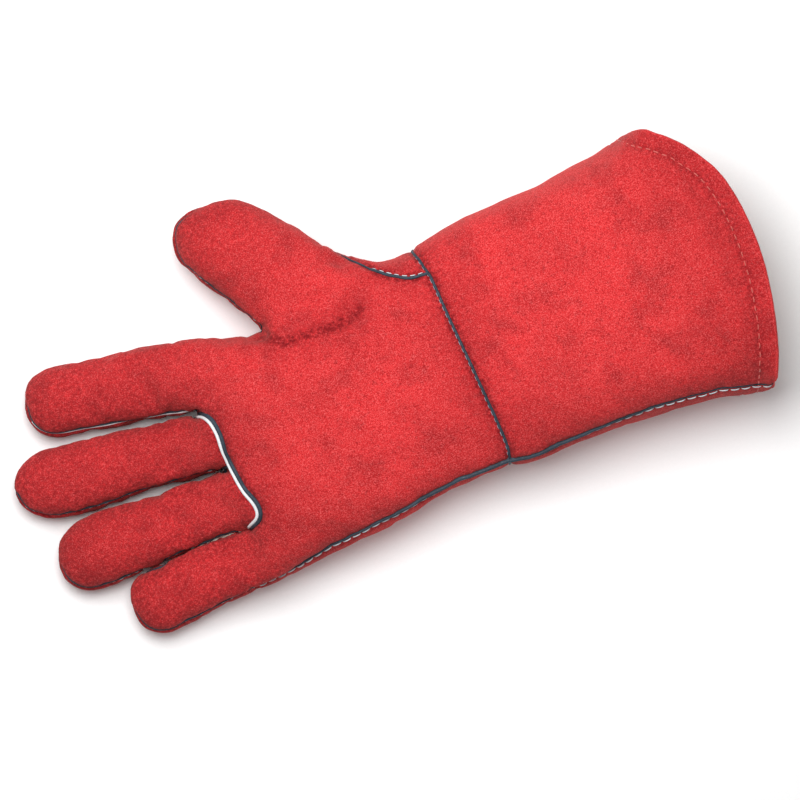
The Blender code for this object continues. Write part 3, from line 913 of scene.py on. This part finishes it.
def suede_material():
    """Split cowhide with a brushed nap: mottled red, with painted shade in dark clouds, in its seams and
    towards the fingers, thumb and cuff's ends.
    """
    m = Nodes("suede")
    place = m.attribute("rest")
    patches = m.noise(place, 24, 3.0)
    shade_clouds = m.noise(place, 70, 4.0, 0.6)
    mottle = m.noise(place, 480, 3.0, 0.6)
    nap = m.noise(place, 1900, 3.0, 0.7)
    fibres = m.noise(place, 3200, 2.0, 0.6)
    base = m.mix(m.range(patches, 0.35, 0.65), shade(RED, 1.08), shade(RED, 0.86))
    # Painted shade: random dark clouds that stand in for the shade of soft dents.
    base = m.mix(m.range(shade_clouds, 0.50, 0.74, 0.0, 0.55), base, RED_DARK)
    base = m.mix(m.range(mottle, 0.46, 0.22, 0.0, 0.6), base, RED_DARK)
    base = m.mix(m.range(nap, 0.50, 0.78), base, RED_LIGHT)
    base = m.mix(m.range(nap, 0.50, 0.26), base, RED_DARK)
    blots = m.range(m.noise(place, 640, 3.0, 0.65), 0.34, 0.66, 1.25, 0.2)
    # Painted shade and soil: blotchy dark red near the seams and towards the fingers, thumb and cuff's ends.
    base = m.mix(m.product(m.attribute("valley", "Fac"), blots), base, RED_DARK)
    m.bump([(patches, 0.0006), (mottle, 0.0003), (nap, 0.00030), (fibres, 0.00008)])
    m.set(Base_Color=base, Roughness=m.range(nap, 0.3, 0.7, 0.98, 0.84), Specular_IOR_Level=0.15)
    m.set(Sheen_Weight=0.18, Sheen_Roughness=0.5, Sheen_Tint=(1.0, 0.4, 0.36))
    return m.material


def welt_material():
    """Dyed slate leather strip with scuffed high spots."""
    m = Nodes("welt")
    place = m.attribute("rest")
    grain = m.noise(place, 1500, 4.0, 0.6)
    patches = m.noise(place, 140, 2.0)
    base = m.mix(m.range(patches, 0.35, 0.65), SLATE, shade(SLATE, 0.6))
    base = m.mix(m.range(grain, 0.55, 0.8), base, SLATE_LIGHT)
    m.bump([(grain, 0.0002)])
    m.set(Base_Color=base, Roughness=m.range(grain, 0.3, 0.7, 0.75, 0.5), Specular_IOR_Level=0.35)
    return m.material


def thread_material(name, light, darker=0.6):
    """Twisted sewing thread."""
    m = Nodes(name)
    place, dark = m.attribute("rest"), shade(light, darker)
    fuzz = m.noise(place, 3200, 2.0, 0.6)
    wear = m.noise(place, 180, 2.0)
    base = m.mix(m.range(fuzz, 0.6, 0.3), light, dark)
    base = m.mix(m.range(wear, 0.58, 0.72, 0.0, 0.5), base, dark)
    m.bump([(fuzz, 0.00012)])
    m.set(Base_Color=base, Roughness=0.7, Sheen_Weight=0.3, Specular_IOR_Level=0.3)
    return m.material


def cotton_material():
    """Brushed cotton fleece, matted into small tufts."""
    m = Nodes("cotton")
    place = m.attribute("rest")
    tufts = m.noise(place, 380, 3.0, 0.6)
    fibres = m.noise(place, 1700, 3.0, 0.7)
    patches = m.noise(place, 40, 2.0)
    base = m.mix(m.range(patches, 0.35, 0.7), COTTON, shade(COTTON, 0.86))
    base = m.mix(m.range(tufts, 0.45, 0.25), base, shade(COTTON, 0.6))
    base = m.mix(m.range(fibres, 0.55, 0.8, 0.0, 0.6), base, COTTON_LIGHT)
    m.bump([(tufts, 0.0009), (fibres, 0.0003)])
    m.set(Base_Color=base, Roughness=0.95, Specular_IOR_Level=0.15)
    m.set(Sheen_Weight=0.5, Sheen_Roughness=0.5)
    return m.material


# ---------------------------------------------------------------- the glove


def seam_parts(skin):
    """Coarse vertex lines of the front-to-back seam, split by region."""
    parts = {}
    for region in np.unique(skin.region):
        here = skin.region == region
        lines = skin.edge_chains(here & skin.front, here & ~skin.front)
        if region == "cuff":
            lines = [line for line in lines if skin.verts[line, 1].mean() < 0]
        parts[region] = [line for line in lines if len(line) > 2]
    return parts


def top_path(skin, line):
    """The palm sheet's vertices that lie on a plan line, in order."""
    away, place = distance_to(skin.plan, curve(line))
    on = np.flatnonzero(away < 2e-3)
    return list(on[np.argsort(place[on])])


class Maker:
    """Gives each piece its material and hides the CAD nodes that it replaces."""

    def __init__(self, flex):
        self.flex = flex
        self.kinds = {
            "suede": (suede_material(), "suede"),
            "welt": (welt_material(), "welt"),
            "piping": (thread_material("piping", PIPING_WHITE, 0.7), "welt"),
            "thread": (thread_material("pale_thread", THREAD_PALE), "welt"),
            "grey_thread": (thread_material("grey_thread", THREAD_GREY), "welt"),
            "hem_thread": (thread_material("hem_thread", HEM_THREAD), "suede"),
            "cotton": (cotton_material(), "cotton"),
        }

    def tie(self, piece, region, nodes):
        self.flex.attach(piece, region)
        if nodes:
            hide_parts(*nodes)

    def panel(self, cutter, name, mask, kind, region, node, *layers):
        self.tie(cutter.panel(name, mask, self.kinds[kind][0], *layers), region, [node])

    def swept(self, name, parts, kind, region, *nodes):
        self.tie(new_object(name, *join(parts), self.kinds[kind][0]), region, nodes)


def build(frame):
    flex = Flex(frame["joints"])
    skin = Skin(flex)
    seam_lines = seam_parts(skin)
    wrist = skin.edge_chains(skin.region == "cuff", skin.region == "hand")[0]
    feature_lines = [top_path(skin, line) for line in (BASE_SEAM, MIDDLE_RING_SEAM, THUMB_CREASE)]
    relax(skin, [line for lines in seam_lines.values() for line in lines])
    surface = Finer(skin)
    fine = {r: [surface.line(line) for line in lines] for r, lines in seam_lines.items()}
    wrist, base, fork, crease = (surface.line(line) for line in (wrist, *feature_lines))
    mouth = mouth_loop(surface)
    hem_row = Skinned(surface).inset(surface.verts[mouth], HEM_STITCH_IN)
    panel_lines = [line for lines in fine.values() for line in lines]
    seams = [{"line": line, **PANEL_SEAM} for line in panel_lines]
    sewn = ((wrist, WRIST_SEAM), (base, BASE_SEWN), (fork, FORK_SEWN), (crease, CREASE_FOLD))
    seams += [{"line": line, **how} for line, how in sewn]
    sew(surface, seams + [{"points": hem_row, **HEM_SEWN}])
    cutter = Cutter(surface, panel_lines + [wrist], SEAM_GAP)
    maker = Maker(flex)
    leather(cutter, maker)
    linings(skin, maker)
    hem(cutter, maker, mouth, hem_row)
    welts(cutter, maker, fine, wrist, base, fork)


def mouth_loop(surface):
    """The skin's open edge at the cuff's mouth, as a loop of vertices."""
    keys, uses = np.unique(edge_keys(surface.faces)[0], return_counts=True)
    rim = keys[uses == 1]
    return chains([(k // EDGE, k % EDGE) for k in rim.tolist()])[0][:-1]


class Skinned:
    """Finds places on the skin."""

    def __init__(self, surface):
        self.normals = vertex_normals(surface.verts, surface.faces)
        self.tree = BVHTree.FromPolygons(surface.verts.tolist(), surface.faces.tolist())

    def drop(self, points):
        """Each point's nearest place on the skin, and the skin's normal there, smoothed along."""
        places, ups = [], []
        for point in points:
            place, normal, _, _ = self.tree.find_nearest(Vector(point))
            places.append(place)
            ups.append(normal)
        return np.array(places), smooth_line(np.array(ups), 4)

    def inset(self, loop, depth):
        """A closed loop's points moved along the skin, back from the edge."""
        ahead = np.roll(loop, -2, axis=0) - np.roll(loop, 2, axis=0)
        _, ups = self.drop(loop)
        back = unit(np.cross(ahead, ups))
        back *= -np.sign(back[:, 0].sum())
        moved, _ = self.drop(loop + back * depth)
        return smooth_line(np.vstack([moved, moved[:2]]), 2)

    def beside(self, points, offset, towards):
        """A line's points moved sideways along the skin, to the side where towards lies."""
        _, ups = self.drop(points)
        aside = unit(np.cross(np.gradient(points, axis=0), ups))
        aside *= np.sign((aside * np.asarray(towards)).sum())
        moved, ups = self.drop(points + aside * offset)
        return smooth_line(moved, 3), ups


def leather(cutter, maker):
    surface = cutter.surface
    for region in np.unique(surface.region):
        here = surface.region == region
        if region == "cuff":
            maker.panel(cutter, "cuff_leather", here, "suede", region, "cuff_panel")
            continue
        name, _, part = region.partition("_")
        for front in (True, False):
            if region == "hand":
                node = "palm_panel" if front else "hand_back_panel"
            else:
                node = f"{name}_{'front' if front else 'back'}_{part}"
            mask = here & (surface.front == front)
            maker.panel(cutter, node + "_leather", mask, "suede", region, node)


def linings(skin, maker):
    """The fleece under the leather, which follows the hide's dents but not its seams."""
    # The fleece gets no painted shade or soil.
    skin.valley = np.zeros(len(skin.verts))
    dents = np.array([dent(place) for place in skin.verts])
    skin.verts = skin.verts + vertex_normals(skin.verts, skin.faces) * dents[:, None]
    cutter = Cutter(skin, [], 0.0)
    cutter.measure_room()
    for region in np.unique(skin.region):
        here = skin.region == region
        name, _, part = region.partition("_")
        if region == "cuff":
            pieces = [("cuff_fleece", here & ~skin.facing, "cuff_lining")]
        elif region == "hand":
            pieces = [
                (node + "_fleece", here & (skin.front == front), node)
                for front, node in ((True, "palm_lining"), (False, "back_lining"))
            ]
        else:
            pieces = [(f"{name}_fleece_{part}", here, f"{name}_lining_{part}")]
        for piece, mask, node in pieces:
            maker.panel(cutter, piece, mask, "cotton", region, node, LINING_DEPTH, LINING)


def hem(cutter, maker, mouth, hem_row):
    """The cuff's edge turned in and stitched down: the facing inside, the fold, and the thread."""
    surface = cutter.surface
    maker.panel(cutter, "hem_facing_leather", surface.facing, "suede", "cuff", "hem_facing", FACING_DEPTH)
    points, ups = surface.verts[mouth], cutter.normals[mouth]
    fold = (FACING_DEPTH + LEATHER) / 2
    outward = 1 if np.cross(points[1] - points[0], ups[0])[0] > 0 else -1
    section = [
        (outward * fold * math.cos(t), -fold + fold * math.sin(t))
        for t in np.linspace(-math.pi / 2, math.pi / 2, 9) * outward
    ]
    maker.swept("hem_fold", [sweep(points, ups, section, closed=True)], "suede", "cuff")
    row, ups = Skinned(surface).drop(hem_row)
    maker.swept("hem_thread", [stitches(row, ups, 3.1, 1.1, 0.26)], "hem_thread", "cuff")


def welts(cutter, maker, fine, wrist, base, fork):
    """The slate welts in the seams, the white piping, and the thread that shows beside them."""
    verts, normals = cutter.surface.verts, cutter.normals
    on = Skinned(cutter.surface)
    section = round_profile(0.84, -1.5, 0.75)
    forks = np.array(list(FORKS.values()) + [THUMB_LEFT[0]])
    for region, lines in fine.items():
        strips, thumb_strips, threads, piping = [], [], [], []
        for line in lines:
            points, ups = smooth_line(verts[line]), smooth_line(normals[line], 4)
            x, y = points[:, 0], points[:, 1]
            if region == "hand" and x.mean() > -10 and y.mean() > 0:
                thumb_strips.append(sweep(points, ups, round_profile(1.5, -1.5, 0.9)))
                threads.append(stitches(*on.beside(points, 1.0, (0, 1, 0)), 3.0, 0.7, 0.24))
                continue
            if region in ("hand", "cuff") and y.mean() < -60:
                size = np.interp(x, (-90, -40, 0, 60, 100, 125), (0.9, 1.3, 2.3, 2.3, 1.4, 0.6))
                strips.append(sweep(points, ups, section, size))
                thread, thread_ups = on.beside(points, 1.5, (0, -1, 0))
                threads.append(stitches(thread + thread_ups * 0.25, thread_ups, 4.4, 0.6, 0.28))
                continue
            away = np.linalg.norm(points[:, None, :2] - forks[None], axis=2).min(1)
            strips.append(sweep(points, ups, section, 0.45 + 0.55 * ease((away - 3) / 8)))
            low_side = ups[:, 1] < -0.15
            if low_side.sum() > 8 and region not in ("hand", "cuff"):
                run = points[low_side]
                if region.startswith("index"):
                    piping.append(sweep(*on.beside(run, 0.95, (0, -1, -0.5)), circle(0.55)))
                else:
                    threads.append(stitches(*on.beside(run, 0.9, (0, -1, -0.5)), 3.0, 0.8, 0.24))
        node = {"hand": "hand_side_welt", "cuff": "cuff_side_welt"}.get(region, region + "_welt")
        maker.swept(node + "_strip", strips, "welt", region, *([node] if "near" not in region else []))
        if thumb_strips:
            maker.swept("thumb_seam_welt_strip", thumb_strips, "welt", region, "thumb_seam_welt")
        if threads:
            maker.swept(region + "_thread", threads, "thread", region)
        if piping:
            maker.swept(region + "_piping", piping, "piping", region)
    points, ups = smooth_line(verts[wrist]), smooth_line(normals[wrist], 4)
    strip = sweep(points, ups, round_profile(1.3, -1.5, 0.85))
    maker.swept("wrist_welt_strip", [strip], "welt", "hand", "wrist_welt")
    thread = stitches(*on.beside(points, 0.85, (-1, 0, 0)), 2.8, 0.7, 0.2)
    maker.swept("wrist_thread", [thread], "grey_thread", "hand")
    seams = [(smooth_line(verts[line]), smooth_line(normals[line], 4)) for line in (base, fork)]
    strips = [sweep(points, ups, round_profile(2.0, -1.0, 1.2)) for points, ups in seams]
    beside, ups = on.beside(seams[0][0], 1.75, (-1, 0, 0))
    piping = sweep(beside + ups * 0.35, ups, circle(0.75, 10))
    maker.swept("finger_base_welt_strip", strips, "welt", "hand", "finger_base_welt")
    maker.swept("finger_base_piping", [piping], "piping", "hand")


RELAX_SCALE = 0.01
RELAX_FRAMES = 24
RELAX_CAP = 3.0
RELAX_KEPT = 0.7
RELAX_ROUNDS = 60
RELAX_CLOTH = {
    "quality": 5, "mass": 0.4, "tension_stiffness": 30, "compression_stiffness": 30,
    "shear_stiffness": 15, "bending_stiffness": 1.5, "use_pressure": True,
    "uniform_pressure_force": 2.0, "shrink_min": -0.025, "shrink_max": 0.07,
}


def spread(values, faces, rounds):
    """Values averaged with their neighbours on the skin, over and over."""
    keys = np.unique(edge_keys(faces)[0])
    a, b = keys // EDGE, keys % EDGE
    count = len(values)
    near = np.bincount(a, minlength=count) + np.bincount(b, minlength=count)
    out = values.copy()
    for _ in range(rounds):
        total = np.stack([
            np.bincount(a, out[b, k], count) + np.bincount(b, out[a, k], count) for k in range(3)
        ], 1)
        out = (out + total) / (near + 1)[:, None]
    return out


def relax(skin, seams):
    """Cloth: the panels are cut a little full and gathered along their seams, and air fills them."""
    scene = bpy.context.scene
    mesh = bpy.data.meshes.new("relax")
    mesh.from_pydata((skin.verts * RELAX_SCALE).tolist(), [], skin.faces.tolist())
    piece = bpy.data.objects.new("relax", mesh)
    bpy.context.collection.objects.link(piece)
    gather = piece.vertex_groups.new(name="gather")
    gather.add([int(v) for v in range(len(skin.verts))], 0.0, "REPLACE")
    gather.add([int(v) for line in seams for v in line], 1.0, "REPLACE")
    hold = piece.vertex_groups.new(name="hold")
    mouth = np.flatnonzero(skin.verts[:, 0] > hem_at(skin.verts[:, 1]) - 4)
    hold.add([int(v) for v in mouth], 1.0, "REPLACE")
    cloth = piece.modifiers.new("cloth", "CLOTH")
    settings = cloth.settings
    for name, value in RELAX_CLOTH.items():
        setattr(settings, name, value)
    settings.effector_weights.gravity = 0
    settings.vertex_group_shrink = "gather"
    settings.vertex_group_mass = "hold"
    cloth.point_cache.frame_start = 1
    cloth.point_cache.frame_end = RELAX_FRAMES
    for step in range(1, RELAX_FRAMES + 1):
        scene.frame_set(step)
    settled = piece.evaluated_get(bpy.context.evaluated_depsgraph_get()).to_mesh()
    places = np.empty(len(skin.verts) * 3)
    settled.vertices.foreach_get("co", places)
    scene.frame_set(1)
    bpy.data.objects.remove(piece)
    moved = places.reshape(-1, 3) / RELAX_SCALE - skin.verts
    moved -= spread(moved, skin.faces, RELAX_ROUNDS)
    length = np.linalg.norm(moved, axis=1)
    moved *= (RELAX_CAP * np.tanh(length / RELAX_CAP) / np.maximum(length, 1e-9))[:, None] * RELAX_KEPT
    skin.verts = press_flat(skin.verts + moved, 0.5)


# ---------------------------------------------------------------- stage, light and camera


def stage():
    bpy.ops.mesh.primitive_plane_add(size=6, location=(0, 0, 0))
    floor = bpy.context.object
    floor.name = "floor"
    m = Nodes("floor_paper")
    grain = m.noise(m.add("ShaderNodeTexCoord", "Object", {}), 700, 3.0)
    base = m.mix(m.range(grain, 0.3, 0.7), (0.97, 0.97, 0.97), (0.95, 0.95, 0.95))
    m.set(Base_Color=base, Roughness=0.9, Specular_IOR_Level=0.1)
    floor.data.materials.append(m.material)


def light(name, place, target, size, power):
    lamp = bpy.data.lights.new(name, "AREA")
    lamp.shape = "DISK"
    lamp.size = size
    lamp.energy = power
    lamp_object = bpy.data.objects.new(name, lamp)
    bpy.context.collection.objects.link(lamp_object)
    lamp_object.location = place
    aim = Vector(target) - Vector(place)
    lamp_object.rotation_euler = aim.to_track_quat("-Z", "Y").to_euler()


def lights():
    world = bpy.data.worlds.new("studio")
    world.use_nodes = True
    background = world.node_tree.nodes["Background"]
    background.inputs["Color"].default_value = (1, 1, 1, 1)
    background.inputs["Strength"].default_value = 0.26
    bpy.context.scene.world = world
    light("key", (-0.05, 0.25, 0.74), (0, -0.01, 0), 0.62, 7.8)
    light("fill", (0.9, -0.5, 1.2), (0, 0, 0), 1.4, 3)


CAMERA_ABOVE = (-0.3, -24.9)
CAMERA_ROLL = -19.5
CAMERA_DISTANCE = 2400.0
VIEW_WIDTH = 365.0
VIEW_LEVEL = 25.0


def camera():
    lens = bpy.data.cameras.new("camera")
    lens.sensor_width = 36
    lens.lens = 36 * (CAMERA_DISTANCE - VIEW_LEVEL) / VIEW_WIDTH
    seen = bpy.data.objects.new("camera", lens)
    bpy.context.collection.objects.link(seen)
    seen.location = Vector((*CAMERA_ABOVE, CAMERA_DISTANCE)) * MM
    seen.rotation_euler = (0, 0, math.radians(CAMERA_ROLL))
    bpy.context.scene.camera = seen
    bpy.context.scene.view_settings.view_transform = "Standard"


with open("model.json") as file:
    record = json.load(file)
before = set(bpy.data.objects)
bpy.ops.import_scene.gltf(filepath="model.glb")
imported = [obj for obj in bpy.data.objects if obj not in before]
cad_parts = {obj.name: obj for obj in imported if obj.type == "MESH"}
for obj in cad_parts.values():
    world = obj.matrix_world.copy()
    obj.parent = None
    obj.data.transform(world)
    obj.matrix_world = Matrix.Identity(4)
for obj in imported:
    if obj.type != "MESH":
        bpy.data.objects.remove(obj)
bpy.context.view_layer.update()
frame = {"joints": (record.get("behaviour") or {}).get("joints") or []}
build(frame)
stage()
lights()
camera()
